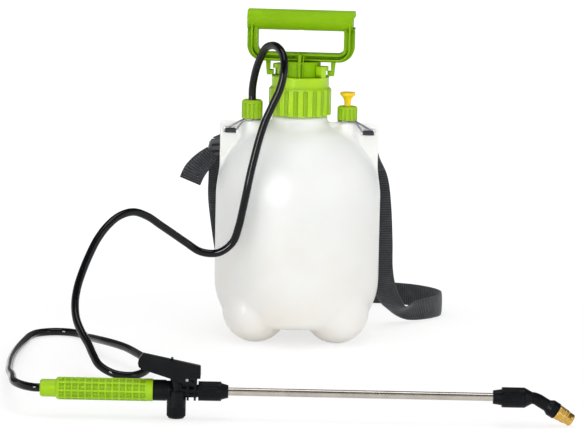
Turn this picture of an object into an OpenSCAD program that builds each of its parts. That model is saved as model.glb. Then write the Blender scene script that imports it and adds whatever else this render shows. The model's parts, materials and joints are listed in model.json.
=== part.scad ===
// Pump sprayer with a shoulder strap, a hose and a trigger lance.
// Millimetres. The origin is on the floor, on the tank's axis. The front looks along -Y and +Z is up.

/* [Tank] */
// Outer diameter of the tank
tank_d = 180; // [170:1:190]
// Wall of the tank
tank_wall = 2.5; // [2:0.1:3]
// Height where the shoulder starts to curve in
shoulder_z = 156; // [150:1:160]
// Radius of the shoulder curve
shoulder_r = 80; // [76:1:82]
// Outer diameter of the neck
neck_d = 51; // [50:0.5:51]
// Bore of the neck
neck_bore_d = 44; // [43:0.5:45]
// Height of the neck's lip
neck_z = 258; // [257:0.5:259]
// Distance of the hose and relief fittings from the axis
fitting_x = 52; // [51:0.5:53]
// Width over the two strap ears
ear_span = 173; // [170:1:176]
// Height of the ears
ear_z = 237; // [235:0.5:237]
// Thickness of the ears
ear_t = 3.5; // [3:0.1:4]
// Distance of a foot from the tank's middle, sideways
foot_x = 44; // [42:1:46]
// Distance of a foot from the tank's middle, forwards and backwards
foot_y = 36; // [34:1:38]
// Radius of a foot
foot_r = 36; // [35:0.5:37]

/* [Pump] */
// Diameter over the fluted skirt of the pump cap
skirt_d = 68; // [67:0.5:69]
// Height of the skirt's lower rim
skirt_z = 246.5; // [246:0.5:248]
// Height of the step between skirt and collar
collar_z = 276.5; // [275:0.5:278]
// Diameter of the plain collar
collar_d = 62.6; // [62:0.2:63]
// Height of the top of the collar
cap_top_z = 288; // [287.5:0.1:288]
// Number of flutes round the skirt
flutes = 20; // [18:1:22]
// Diameter of the pump rod
rod_d = 12; // [11:0.5:12]
// Outer diameter of the pump barrel
barrel_d = 31; // [30:0.5:31]
// Height of the barrel's lower end
barrel_z = 60; // [60:1:70]

/* [Handle] */
// Width over the handle
handle_w = 117; // [114:1:120]
// Top of the handle
handle_top_z = 360; // [358:1:362]
// Underside of the handle's lower bar
handle_low_z = 304; // [304:0.5:305]
// Turn of the handle at rest, seen from above
handle_yaw = -4; // [-5:1:-3]

/* [Lance] */
// Place of the grip's free end along X
lance_x = -250; // [-255:1:-245]
// Distance of the lance in front of the tank's axis
lance_y = -446; // [-460:1:-440]
// Height of the lance's axis
lance_z = 27.6; // [27.6:0.1:29]
// Outer diameter of the lance tube
lance_tube_d = 8; // [7.6:0.1:8]
// Diameter over the grip
grip_d = 22.4; // [21:0.2:23]
// Turn of the elbow
elbow_turn = 31; // [30:1:31]

/* [Hose and strap] */
// Outer diameter of the hose
hose_d = 8.4; // [8:0.1:8.6]
// Width of the strap
strap_w = 25; // [24:1:26]
// Thickness of the strap
strap_t = 1.6; // [1.4:0.1:1.8]
// Diameter of the wire of the strap bails
bail_wire_d = 1.8; // [1.6:0.1:1.8]

/* [Hidden] */
$fn = 64;

lime = "yellowgreen";
natural = "whitesmoke";
black = [0.13, 0.14, 0.15];
yellow = "gold";
brass = [0.78, 0.63, 0.3];
steel = "silver";
rubber = [0.2, 0.2, 0.2];

tank_r = tank_d / 2;
shoulder_x = tank_r - shoulder_r;
// The heel draws in below the straight wall, down to the edge of the flat base
heel_z = 65;
heel_r = 86;
edge_z = 30;
edge_r = 81;
base_z = 18;
base_r = 69;
boss_r = 10;
boss_z = 238.3;
spigot_r = 8.2;
spigot_z = 250;
fitting_bore_r = 5.5;
nut_z = 240.6;
slot_x = 75.2;
slot_w = 15.6;
slot_z = 227;
slot_h = 6;

seal_t = 2;
flange_t = 2.5;
flange_z = neck_z + seal_t + 0.3;
barrel_r = barrel_d / 2;
barrel_bore_r = 13.8;
barrel_top_z = 270;
rod_r = rod_d / 2;
run = 0.05;
piston_z = 70;
piston_h = 16;
opening_low_z = handle_low_z + 9;
opening_high_z = handle_top_z - 22;
hub_z = cap_top_z + 0.5;
flute_turn = 10;
lug_at = [-43, 137];
lug_stop = 16;
lug_span = 30;
post_w = 11.5;
clip_z = 308.8;

bar = [16, 111];
valve_x = 134;
pin_x = 144.5;
pin_z = 12.4;
trigger_slope = 11.4;
bevel_w = 9;
pin_r = 1.5;
stem_r = 2.4;
stem_top_z = 17.2;
valve_low_z = -27.2;
tube_nut_x = 155.6;
elbow_x = 476.3;
bend_x = 482.5;
bend_r = 14;
elbow_run = 21;
elbow_r = 5.9;

// Hose from the tank's nut, over the front of the tank, down to the floor and round to the grip
hose_route = [
    [-52, 0, 258], [-52, 0, 274], [-49, -6.1, 292.1], [-44.1, -16.2, 308], [-37.2, -28.1, 321.5],
    [-26.9, -44, 324.6], [-19.1, -59.5, 316.2], [-17.9, -70.3, 300.3], [-21.9, -73.8, 281.6],
    [-29.6, -75.5, 263.9], [-37.3, -78.6, 246.3], [-43, -82.1, 228], [-47.6, -85, 209.3],
    [-51.8, -86.9, 190.4], [-55.4, -87.3, 171.3], [-59.1, -85.3, 152.3], [-63, -82.2, 133.6],
    [-69.4, -80, 115.4], [-84.4, -78.3, 103.5], [-103.5, -76.3, 103.7], [-119.8, -78, 113.9],
    [-133.6, -86.5, 124.7], [-146.7, -96.3, 135.2], [-160.1, -105.6, 145.7], [-175, -116.2, 152],
    [-189.7, -128.5, 149.1], [-201.7, -140.8, 140], [-211.5, -151.7, 127.2], [-218.8, -162.4, 112.7],
    [-224.9, -173, 97.6], [-229.6, -184.1, 82.3], [-231.4, -196.1, 67.1], [-229.2, -208.8, 52.6],
    [-222.7, -222.9, 41], [-214.7, -237.8, 31.4], [-208.6, -254.3, 23.2], [-201, -270.4, 15.6],
    [-185.4, -279.7, 9.2], [-166.6, -277.1, 7], [-153.6, -263.2, 9.6], [-151.4, -244.6, 13.8],
    [-158.2, -226.6, 16.5], [-167.1, -209.4, 18], [-176.1, -192.1, 18.9], [-185.5, -175.1, 18.7],
    [-194.8, -158, 17.8], [-203.4, -140.6, 16.3], [-210.7, -122.7, 14.2], [-217.4, -104.6, 12],
    [-222.6, -86.1, 9.2], [-225.1, -67.1, 5.8], [-230.6, -48.6, 4.4], [-244.6, -35.4, 4.4],
    [-263.7, -32.7, 4.4], [-280.3, -42.3, 4.4], [-287.7, -60, 4.4], [-291.1, -86.6, 4.8],
    [-294, -126.3, 6.3], [-295.2, -165.9, 8.6], [-295.2, -207.4, 11.4], [-294, -251.2, 14.6],
    [-291.6, -295.3, 18], [-288.7, -334.6, 21.2], [-283.3, -372, 24.3], [-279.4, -407, 26.6],
    [-275, -423.5, 27.4], [-267, -437, 27.7], [-257.4, -444.4, 27.6], [-248, -446, 27.6],
    [-240, -446, 27.6]
];

// Strap: place, direction of its width, and width. From the right ear, round on the floor, to the slider
strap_route = [
    [[75, 4, 224], [1, 0, 0], 14], [[78, 11, 213], [1, 0, 0], 13], [[82, 36, 194], [1, -0.2, 0], 15],
    [[89, 49, 170], [1, -0.25, 0], 21], [[92, 51, 138], [1, -0.1, 0], 24], [[94, 52, 98], [1, 0, 0], 25],
    [[95, 57, 68], [1, -0.1, 0], 25], [[99, 65, 45], [0.95, -0.2, 0.2], 25],
    [[106, 74, 28], [0.65, -0.5, 0.55], 25], [[116, 83, 16], [0.3, -0.8, 0.5], 25],
    [[131, 94, 12.7], [0, -0.5, 0.85], 25], [[150, 110, 13], [0, -0.15, 1], 25],
    [[164, 132, 13], [0, 0, 1], 25], [[165, 156, 13], [0, 0, 1], 25], [[153, 178, 13], [0, 0, 1], 25],
    [[130, 196, 13], [0, 0, 1], 25], [[100, 204, 13], [0, 0, 1], 25], [[60, 203, 13], [0, 0, 1], 25],
    [[20, 190, 13], [0, 0, 1], 25], [[-15, 167, 13], [0, 0, 1], 25], [[-40, 139, 15], [0.2, 0.1, 1], 25],
    [[-58, 112, 24], [0.7, 0.4, 0.7], 25], [[-71, 88, 44], [0.8, 0.6, 0.3], 25],
    [[-79, 70, 74], [0.8, 0.6, 0], 25], [[-84, 58, 108], [0.85, 0.5, 0], 25],
    [[-88, 49, 145], [0.9, 0.4, 0], 25], [[-88, 42, 172], [0.9, 0.45, 0], 25],
    [[-87, 33, 192.5], [0.9, 0.35, 0], 25]
];
// Short length of strap from the left ear to the slider
loop_route = [
    [[-75, 4, 224], [1, 0, 0], 14], [[-79, 12, 219], [1, 0.2, 0], 18], [[-84, 20, 215], [0.9, 0.35, 0], 25]
];
// Free end of the strap beyond the slider
tail_route = [
    [[-95, 19, 199], [0.6, 0.25, -0.8], 17], [[-105, 18, 189], [0.75, 0.1, -0.65], 22],
    [[-114, 15, 178], [0.85, 0.2, -0.5], 25], [[-119, 14, 167], [0.9, 0.2, -0.4], 25]
];
slider_at = [-86, 27, 203.5];
slider_turn = [30, 0, 21];

function unit(v) = v / norm(v);
function spline(a, b, c, d, t) =
    b + 0.5 * t * (c - a + t * (2 * a - 5 * b + 4 * c - d + t * (3 * (b - c) + d - a)));
function smooth(p, n) = concat(
    [for (i = [0 : len(p) - 2], k = [0 : n - 1])
        spline(p[max(i - 1, 0)], p[i], p[i + 1], p[min(i + 2, len(p) - 1)], k / n)],
    [p[len(p) - 1]]
);
function tangents(p) =
    [for (i = [0 : len(p) - 1]) unit(p[min(i + 1, len(p) - 1)] - p[max(i - 1, 0)])];
// A side direction that is carried along the path without turning about it
function carried(t, n, i = 0) =
    i == len(t) ? [] : let (m = unit(n - t[i] * (n * t[i]))) concat([m], carried(t, m, i + 1));
function ring_faces(rings, sides) = concat(
    [for (i = [0 : rings - 2], k = [0 : sides - 1])
        each [[i * sides + k, i * sides + (k + 1) % sides, (i + 1) * sides + k],
              [i * sides + (k + 1) % sides, (i + 1) * sides + (k + 1) % sides, (i + 1) * sides + k]]],
    [for (k = [1 : sides - 2]) [0, k + 1, k]],
    [for (k = [1 : sides - 2]) [for (j = [0, k, k + 1]) (rings - 1) * sides + j]]
);

// Round tube along a path
module tube(path, r, sides) {
    t = tangents(path);
    side = carried(t, [0.9, 0.3, 0.1]);
    points = [for (i = [0 : len(path) - 1], k = [0 : sides - 1])
        let (a = 360 * k / sides)
            path[i] + r * (cos(a) * side[i] - sin(a) * cross(t[i], side[i]))];
    polyhedron(points, [for (f = ring_faces(len(path), sides)) [f[2], f[1], f[0]]], convexity = 10);
}

// Flat ribbon along a route of places, width directions and widths
module ribbon(route, thick, steps) {
    places = smooth([for (s = route) s[0]], steps);
    across = smooth([for (s = route) unit(s[1])], steps);
    widths = smooth([for (s = route) s[2]], steps);
    t = tangents(places);
    points = [for (i = [0 : len(places) - 1])
        let (w = unit(across[i] - t[i] * (across[i] * t[i])), n = cross(t[i], w))
            each [for (c = [[-1, -1], [1, -1], [1, 1], [-1, 1]])
                places[i] + w * c[0] * widths[i] / 2 + n * c[1] * thick / 2]];
    polyhedron(points, [for (f = ring_faces(len(places), 4)) [f[2], f[1], f[0]]], convexity = 10);
}

// Coil spring on the Z axis, as one unbroken tube
module spring(coil_r, wire_r, low, high, curls, name) {
    pitch = (high - low - 2 * wire_r) / curls;
    path = [for (i = [0 : 8 * curls])
        [coil_r * cos(45 * i), coil_r * sin(45 * i), low + wire_r + pitch * i / 8]];
    gap = min([for (i = [0 : 8 * curls - 8]) norm(path[i + 8] - path[i])]) - 2 * wire_r;
    echo(str(name, " least gap between curls: ", gap, " mm"));
    tube(path, wire_r, 6);
}

// Straight wire between two points, with round ends that are a little fuller than the wire
module wire(p, q, r) {
    d = q - p;
    for (end = [p, q]) translate(end) sphere(r + 0.06, $fn = 32);
    translate(p)
        rotate([0, acos(d[2] / norm(d)), atan2(d[1], d[0])]) cylinder(r = r, h = norm(d), $fn = 24);
}

module rounded(w, h, r) {
    square([w - 2 * r, h], center = true);
    square([w, h - 2 * r], center = true);
    for (x = [-1, 1], y = [-1, 1]) translate([x * (w / 2 - r), y * (h / 2 - r)]) circle(r);
}

module pipe(outer, inner, low, high) {
    translate([0, 0, low]) difference() {
        cylinder(r = outer, h = high - low);
        translate([0, 0, -1]) cylinder(r = inner, h = high - low + 2);
    }
}

// Grooves with round tops, spaced round the Z axis
module grooves(count, at, r, low, high) {
    for (i = [0 : count - 1]) rotate([0, 0, 360 * i / count]) translate([at, 0, low]) {
        cylinder(r = r, h = high - low, $fn = 24);
        translate([0, 0, high - low]) sphere(r, $fn = 24);
    }
}

// Children turn from the Z axis to the lance's axis, with their Z along +X
module along_lance(x = 0) {
    translate([lance_x + x, lance_y, lance_z]) rotate([0, 90, 0]) children();
}

module at_lance(x = 0, z = 0) {
    translate([lance_x + x, lance_y, lance_z + z]) children();
}

// Children sit where the elbow ends, with their Z along the nozzle's axis
module at_nozzle() {
    out = bend_r * [sin(elbow_turn), cos(elbow_turn) - 1];
    at_lance(bend_x + out[0], out[1]) rotate([0, 90 + elbow_turn, 0]) children();
}

module tank_outline(inset) {
    r = tank_r - inset;
    polygon([
        [0, base_z + inset], [base_r, base_z + inset], [base_r + 8.5 - inset, base_z + 3.5 + inset],
        [edge_r - inset, edge_z], [heel_r - inset, (edge_z + heel_z) / 2 - 2], [r, heel_z],
        [r, shoulder_z], [0, shoulder_z]
    ]);
    intersection() {
        translate([shoulder_x, shoulder_z]) circle(shoulder_r - inset, $fn = 128);
        translate([0, shoulder_z - 40]) square([tank_r, shoulder_r + 50]);
    }
}

module feet(inset) {
    for (x = [-1, 1], y = [-1, 1]) translate([x * foot_x, y * foot_y, foot_r - 0.6])
        sphere(foot_r - inset);
}

module ear_plate() {
    translate([0, ear_t / 2, 0]) rotate([90, 0, 0]) linear_extrude(ear_t)
        difference() {
            union() {
                translate([-ear_span / 2, shoulder_z - 20]) square([ear_span, ear_z - shoulder_z + 17]);
                translate([3 - ear_span / 2, shoulder_z]) square([ear_span - 6, ear_z - shoulder_z]);
                for (x = [-1, 1]) translate([x * (ear_span / 2 - 3), ear_z - 3]) circle(3);
            }
            for (x = [-1, 1]) translate([x * slot_x, slot_z]) rounded(slot_w, slot_h, 2.5);
        }
}

module fitting_boss() {
    translate([0, 0, shoulder_z + 40]) cylinder(r = boss_r, h = 233.5 - shoulder_z - 40);
    translate([0, 0, 233.5]) cylinder(r1 = boss_r, r2 = spigot_r + 0.4, h = boss_z - 233.5);
    translate([0, 0, 230]) cylinder(r = spigot_r, h = spigot_z - 230);
}

module tank() {
    color(natural) difference() {
        union() {
            rotate_extrude($fn = 128) tank_outline(0);
            feet(0);
            ear_plate();
            translate([0, 0, shoulder_z]) cylinder(d = neck_d, h = neck_z - shoulder_z);
            for (x = [-1, 1]) translate([x * fitting_x, 0, 0]) fitting_boss();
        }
        rotate_extrude($fn = 128) tank_outline(tank_wall);
        feet(tank_wall);
        translate([0, 0, shoulder_z]) cylinder(d = neck_bore_d, h = 150);
        for (x = [-1, 1]) translate([x * fitting_x, 0, shoulder_z])
            cylinder(r = fitting_bore_r, h = 150);
        translate([-100, -100, -10]) cube([200, 200, 10]);
    }
}

module neck_seal() {
    color(rubber) pipe(neck_d / 2 - 0.2, neck_bore_d / 2 + 0.2, neck_z + 0.02, neck_z + seal_t);
}

// Lug with a solid stop at one end and a flange that the hook turns under
module lug() {
    low = cap_top_z - 0.5;
    high = cap_top_z + 12;
    rotate_extrude(angle = lug_stop) polygon([[22.8, low], [31, low], [31, high], [22.8, high]]);
    rotate_extrude(angle = lug_span) polygon([
        [22.8, low], [26.6, low], [26.6, cap_top_z + 7], [31, cap_top_z + 7], [31, high], [22.8, high]
    ]);
}

module pump_cap() {
    chamfer = (skirt_d - collar_d) / 2;
    color(lime) {
        difference() {
            union() {
                translate([0, 0, skirt_z]) cylinder(d = skirt_d, h = collar_z - chamfer - skirt_z);
                translate([0, 0, collar_z - chamfer]) cylinder(d1 = skirt_d, d2 = collar_d, h = chamfer);
                translate([0, 0, collar_z]) cylinder(d = collar_d, h = cap_top_z - collar_z);
            }
            translate([0, 0, skirt_z - 1]) cylinder(r = 27.4, h = flange_z + flange_t - skirt_z + 1.1);
            translate([0, 0, flange_z]) cylinder(r = barrel_r + 2.6, h = barrel_top_z - flange_z + 0.3);
            translate([0, 0, barrel_top_z]) cylinder(r = 13.5, h = 30);
            rotate([0, 0, flute_turn]) grooves(flutes, skirt_d / 2 + 1, 2.8, skirt_z - 1, collar_z - 3.4);
        }
        for (a = lug_at) rotate([0, 0, a]) lug();
    }
}

module rod_guide() {
    color(black) difference() {
        union() {
            translate([0, 0, barrel_top_z + 2]) cylinder(r = 13.4, h = cap_top_z - barrel_top_z - 1);
            translate([0, 0, cap_top_z + 0.02]) cylinder(r = 17, h = 1.2);
        }
        translate([0, 0, barrel_top_z]) cylinder(r = rod_r + run, h = 30);
    }
}

module pump_barrel() {
    color(natural) difference() {
        union() {
            translate([0, 0, barrel_z]) cylinder(r = barrel_r, h = barrel_top_z - barrel_z);
            translate([0, 0, flange_z]) cylinder(d = neck_d, h = flange_t);
            translate([0, 0, flange_z]) cylinder(r = barrel_r + 2.4, h = barrel_top_z - flange_z);
        }
        translate([0, 0, barrel_z + 4]) cylinder(r = barrel_bore_r, h = 300);
        translate([0, 0, barrel_z - 1]) cylinder(r = 2, h = 10);
        for (a = [0 : 90 : 270]) rotate([0, 0, a]) translate([6, 0, barrel_z - 1]) cylinder(r = 1.5, h = 10);
    }
}

module foot_valve() {
    color(rubber) {
        translate([0, 0, barrel_z - 2.2]) cylinder(r = 10, h = 2);
        translate([0, 0, barrel_z - 2.2]) cylinder(r = 1.9, h = 7);
        translate([0, 0, barrel_z + 4.1]) cylinder(r1 = 3, r2 = 1.9, h = 1.6);
    }
}

module pump_rod() {
    color(black) difference() {
        union() {
            translate([0, 0, piston_z]) cylinder(r = rod_r, h = clip_z + 2.2 - piston_z);
            translate([0, 0, cap_top_z + 3]) cylinder(r = 9, h = 2);
        }
        translate([0, 0, piston_z - 1]) cylinder(r = 2, h = 19);
        pipe(rod_r + 1, 4.5, clip_z, clip_z + 1.3);
    }
}

module piston() {
    color(natural) difference() {
        translate([0, 0, piston_z]) cylinder(r = barrel_bore_r - 0.3, h = piston_h);
        translate([0, 0, piston_z - 1]) cylinder(r = rod_r + 0.03, h = piston_h + 2);
        pipe(barrel_bore_r + 1, 11, piston_z + 6, piston_z + 10);
    }
}

module piston_seal() {
    color(rubber) pipe(barrel_bore_r - run, 11.1, piston_z + 6.2, piston_z + 9.8);
}

module piston_screw() {
    color(steel) {
        translate([0, 0, piston_z - 3]) cylinder(r = 8, h = 2.95);
        translate([0, 0, piston_z - 3]) cylinder(r = 1.95, h = 19);
    }
}

module handle_hook() {
    low = cap_top_z + 0.8;
    rotate([90, 0, 0]) linear_extrude(8, center = true) polygon([
        [33, handle_low_z + 2], [38.2, handle_low_z + 2], [36.6, low], [29.6, low],
        [29.6, low + 5.2], [33.4, low + 5.2]
    ]);
}

// Frame round the opening, from an inset of its outline to the opening
module handle_frame(inset, depth) {
    high = handle_top_z - 8;
    mid = (handle_low_z + high) / 2;
    rotate([90, 0, 0]) linear_extrude(depth, center = true) difference() {
        translate([0, mid]) rounded(handle_w - 2 * inset, high - handle_low_z - 2 * inset, 17 - inset);
        translate([0, opening_low_z + (high - opening_low_z) / 2 + 4])
            rounded(handle_w - 2 * post_w, high - opening_low_z + 8, 7);
    }
}

// Raised rib that runs down both posts and along the rail
module handle_rib(depth) {
    rib_w = handle_w - 8.4;
    tall = 100;
    rotate([90, 0, 0]) linear_extrude(depth, center = true) intersection() {
        translate([-handle_w / 2, handle_low_z]) square([handle_w, opening_high_z + 11 - handle_low_z]);
        difference() {
            translate([0, handle_low_z + 1.9 + tall / 2]) rounded(rib_w, tall, 14);
            translate([0, handle_low_z + 3.5 + tall / 2]) rounded(rib_w - 4.4, tall, 12);
        }
    }
}

// Upright gusset from the hub's front to the rail, at x from the middle
module hub_rib(x, w, out, top) {
    translate([x, 0, 0]) rotate([90, 0, 90]) linear_extrude(w, center = true) polygon([
        [0, hub_z], [-out, hub_z], [-out, handle_low_z - 1], [-13.2, top], [0, top]
    ]);
}

module handle_bar() {
    bar_h = handle_top_z - opening_high_z;
    translate([0, 0, handle_top_z - bar_h / 2]) difference() {
        intersection() {
            rotate([90, 0, 90]) linear_extrude(handle_w + 2, center = true) rounded(25, bar_h, 10);
            rotate([90, 0, 0]) linear_extrude(30, center = true) rounded(handle_w, bar_h + 1, 2);
        }
        // notch in the right end
        translate([handle_w / 2 - 2.2, -15, -7.5]) cube([5, 30, 12]);
    }
}

module handle() {
    color(lime) rotate([0, 0, handle_yaw]) difference() {
        union() {
            handle_frame(0, 10);
            handle_frame(6.6, 18);
            handle_rib(24.6);
            handle_bar();
            translate([0, 0, hub_z]) cylinder(r = 21.8, h = handle_low_z + 0.6 - hub_z);
            translate([0, 0, handle_low_z]) cylinder(r = 9.6, h = opening_low_z - handle_low_z);
            for (a = [0, 180]) rotate([0, 0, a]) {
                hub_rib(0, 3.2, 23.4, opening_low_z - 1);
                hub_rib(3.9, 1.2, 22.8, opening_low_z - 2.5);
                handle_hook();
            }
        }
        difference() {
            translate([0, 0, cap_top_z]) cylinder(r = 19.4, h = handle_low_z - 2 - cap_top_z);
            translate([0, 0, cap_top_z + 5.3]) cylinder(r = 10.5, h = 30);
        }
        translate([0, 0, cap_top_z]) cylinder(r = rod_r + run, h = 60);
        translate([0, 0, clip_z - 0.3]) cylinder(r = 7.8, h = 20);
    }
}

module handle_clip() {
    color(steel) pipe(7.2, 4.55, clip_z + 0.05, clip_z + 1.25);
}

module hose_nut() {
    color(lime) translate([-fitting_x, 0, 0]) difference() {
        union() {
            translate([0, 0, nut_z]) cylinder(r = 11.5, h = 18);
            translate([0, 0, nut_z + 18]) cylinder(r1 = 11.5, r2 = 9.6, h = 2);
        }
        translate([0, 0, nut_z - 1]) cylinder(r = spigot_r + 0.3, h = 13);
        translate([0, 0, nut_z]) cylinder(d = hose_d + 0.6, h = 30);
        grooves(14, 12, 1.2, nut_z - 1, nut_z + 16);
    }
}

module hose_tail() {
    color(black) translate([-fitting_x, 0, 0]) difference() {
        union() {
            translate([0, 0, 228]) cylinder(r = fitting_bore_r - 0.1, h = 22);
            translate([0, 0, spigot_z + 1]) cylinder(r = 8, h = 1.4);
            translate([0, 0, 240]) cylinder(r = 3.5, h = 17.8);
        }
        translate([0, 0, 220]) cylinder(r = 1.8, h = 60);
        translate([0, 0, 220]) cylinder(r = 3.55, h = 16);
    }
}

module hose_seal() {
    color(rubber) translate([-fitting_x, 0, 0])
        pipe(spigot_r - 0.2, 3.6, spigot_z + 0.05, spigot_z + 0.95);
}

module pickup_tube() {
    color(natural) translate([-fitting_x, 0, 0]) pipe(3.5, 2.4, 30, 235.8);
}

module pickup_strainer() {
    color(black) translate([-fitting_x, 0, 0]) difference() {
        translate([0, 0, 23]) cylinder(r = 5.5, h = 15);
        translate([0, 0, 25]) cylinder(r = 3.55, h = 15);
        for (a = [0 : 60 : 300]) rotate([0, 0, a]) translate([3, -0.6, 25]) cube([4, 1.2, 4.5]);
    }
}

module relief_nut() {
    color(lime) translate([fitting_x, 0, 0]) difference() {
        union() {
            translate([0, 0, nut_z]) cylinder(r = 11, h = 13.4);
            translate([0, 0, nut_z + 13.4]) cylinder(r1 = 11, r2 = 9.6, h = 1.4);
        }
        translate([0, 0, nut_z - 1]) cylinder(r = spigot_r + 0.3, h = 12);
        translate([0, 0, nut_z]) cylinder(r = 2.3, h = 30);
        grooves(14, 11.5, 1.2, nut_z - 1, nut_z + 11.5);
    }
}

module relief_seat() {
    color(black) translate([fitting_x, 0, 0]) difference() {
        translate([0, 0, 230]) cylinder(r = fitting_bore_r - 0.1, h = 10);
        translate([0, 0, 225]) cylinder(r = 2, h = 20);
    }
}

module relief_seal() {
    color(rubber) translate([fitting_x, 0, 240.3]) cylinder(r = 4.2, h = 1.3);
}

module relief_stem() {
    color(steel) translate([fitting_x, 0, 241.65]) {
        cylinder(r = 4.5, h = 1.4);
        cylinder(r = 2.2, h = 22);
    }
}

module relief_spring() {
    color(steel) translate([fitting_x, 0, 0]) spring(3.5, 0.5, 243.2, 251.4, 4, "relief_spring");
}

module relief_knob() {
    color(yellow) translate([fitting_x, 0, 0]) difference() {
        rotate_extrude() difference() {
            translate([0, 255.7]) square([8.2, 15]);
            translate([14.2, 259]) circle(10.6);
            translate([3.6, 250]) square([8, 9]);
        }
        translate([0, 0, 250]) cylinder(r = 2.25, h = 13.8);
    }
}

module bail() {
    r = bail_wire_d / 2;
    eye_r = spigot_r + 1.4;
    eye_z = (boss_z + nut_z) / 2;
    inner = [fitting_x + eye_r * cos(60), -eye_r * sin(60), eye_z];
    outer = [fitting_x + eye_r * cos(15), -eye_r * sin(15) - 0.8, eye_z];
    low_inner = [69, -2.9, slot_z + 0.6];
    low_outer = [81.4, -2.9, slot_z + 0.6];
    elbow = [61.5, -8.2, eye_z - 1.2];
    translate([fitting_x, 0, eye_z]) rotate([0, 0, -15]) rotate_extrude(angle = 315)
        translate([eye_r, 0]) circle(r, $fn = 24);
    wire(inner, elbow, r);
    wire(elbow, low_inner, r);
    wire(outer, low_outer, r);
    wire(low_inner, low_outer, r);
}

module bail_right() {
    color(steel) bail();
}

module bail_left() {
    color(steel) mirror([1, 0, 0]) bail();
}

module strap() {
    color(black) ribbon(strap_route, strap_t, 3);
}

module strap_loop() {
    color(black) ribbon(loop_route, strap_t, 3);
}

module strap_tail() {
    color(black) ribbon(tail_route, strap_t, 3);
}

module strap_slider() {
    color("gray") translate(slider_at) rotate(slider_turn) rotate([90, 0, 0])
        linear_extrude(3, center = true)
        difference() {
            rounded(29, 20, 3);
            for (y = [-1, 1]) translate([0, 4.5 * y]) rounded(24, 4, 1.2);
        }
}

module hose() {
    color(black) tube(hose_route, hose_d / 2, 10);
}

module grip_collar() {
    color(lime) along_lance() difference() {
        union() {
            cylinder(r1 = 7.4, r2 = 8.7, h = 1.8);
            translate([0, 0, 1.8]) cylinder(r = 8.7, h = bar[0] - 1.8);
        }
        translate([0, 0, -1]) cylinder(d = hose_d + 0.4, h = 20);
        translate([0, 0, 10.2]) cylinder(r = 6, h = 20);
    }
}

module grip() {
    color(lime) along_lance() difference() {
        union() {
            translate([0, 0, bar[0]]) cylinder(r1 = 9.8, d2 = grip_d, h = 2.5);
            translate([0, 0, bar[0] + 2.5]) cylinder(d = grip_d, h = bar[1] - bar[0] - 2.5);
        }
        cylinder(r = 6, h = 200);
    }
}

module grip_tube() {
    color(black) along_lance() pipe(5.9, 2.7, 10.3, 117);
}

module grip_strainer() {
    color("gray") along_lance() pipe(2.6, 1.9, 70, 96);
}

module valve_body() {
    color(black) difference() {
        union() {
            along_lance() {
                translate([0, 0, bar[1]]) cylinder(r = 10.4, h = 13);
                translate([0, 0, bar[1] + 13]) cylinder(r = 9.6, h = 4);
                translate([0, 0, bar[1] + 10]) cylinder(r = 5.2, h = 44);
                translate([0, 0, tube_nut_x - 2]) cylinder(r = 6.3, h = 11);
            }
            at_lance(valve_x, -13.2) cylinder(r = 9.5, h = 13.2);
            at_lance(valve_x, -1) cylinder(r = 6.2, h = 14);
            at_lance(bar[1] + 16, 0) translate([0, -1.2, -6.5]) cube([27, 2.4, 13]);
            at_lance(pin_x, 0) translate([-5, -2.5, 0]) cube([10, 5, 15.5]);
            for (x = [138, 145.2, 152.2]) intersection() {
                along_lance(x - 1) cylinder(r = 9.8, h = 2);
                at_lance(x) cube([10, 12.6, 40], center = true);
            }
            at_lance(bar[1] + 16, -2.9) translate([0, -6.3, -0.8]) cube([27, 12.6, 1.6]);
        }
        along_lance() translate([0, 0, bar[1] - 1]) cylinder(r = 6, h = 7.1);
        along_lance() translate([0, 0, bar[1]]) cylinder(r = 2.5, h = 80);
        at_lance(valve_x, -5) cylinder(r = stem_r + run, h = 40);
        at_lance(valve_x, -20) cylinder(r = 5.4, h = 15);
        at_lance(pin_x, pin_z) rotate([90, 0, 0]) cylinder(r = pin_r + 0.02, h = 40, center = true);
    }
}

module trigger_side(thick) {
    rotate([90, 0, 0]) linear_extrude(thick, center = true) children();
}

module trigger() {
    color(black) at_lance() difference() {
        union() {
            difference() {
                trigger_side(18.4) polygon([
                    [101, 36.8], [97.5, 33], [96, 28.5], [96.8, 24.6], [99.5, 22.3], [129.5, 12.9],
                    [137, 9.4], [154, 5.2], [154, 13.6], [157.6, 14], [157.6, 24.6], [156.6, 25.6]
                ]);
                trigger_side(14) polygon([
                    [99, 20], [99, 27], [102, 30], [155.2, 18.5], [155.2, 0]
                ]);
            }
            stem_pad();
            translate([129, 0, 30.4]) rotate([0, 12.5, 0]) translate([-1.2, -9.2, -1]) cube([2.4, 18.4, 3.2]);
        }
        translate([pin_x, 0, pin_z]) rotate([90, 0, 0]) cylinder(r = pin_r + run, h = 40, center = true);
        translate([pin_x + 5, 0, pin_z - 1]) rotate([90, 0, 0]) cylinder(r = 1.1, h = 40, center = true);
        for (s = [-1, 1]) translate([129, 9.2 * s, 31.2]) rotate([45, trigger_slope, 0])
            cube([90, bevel_w, bevel_w], center = true);
    }
}

// Pad inside the trigger that presses the valve stem
module stem_pad() {
    translate([valve_x - 3, -7.5, stem_top_z + 0.3]) cube([6, 15, 11]);
}

module trigger_pin() {
    color(steel) at_lance(pin_x, pin_z) rotate([90, 0, 0]) cylinder(r = pin_r, h = 20.4, center = true);
}

module valve_stem() {
    color(steel) at_lance(valve_x) {
        translate([0, 0, -9]) cylinder(r = stem_r, h = stem_top_z + 7);
        translate([0, 0, stem_top_z - 2]) cylinder(r1 = stem_r, r2 = 0.8, h = 2);
        translate([0, 0, -9]) cylinder(r = 4.9, h = 2);
    }
}

module stem_seal() {
    color(rubber) at_lance(valve_x) pipe(4.7, stem_r + 0.02, -6.95, -5.3);
}

module valve_spring() {
    color(steel) at_lance(valve_x) spring(3.6, 0.5, -24.1, -9.1, 6, "valve_spring");
}

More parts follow.
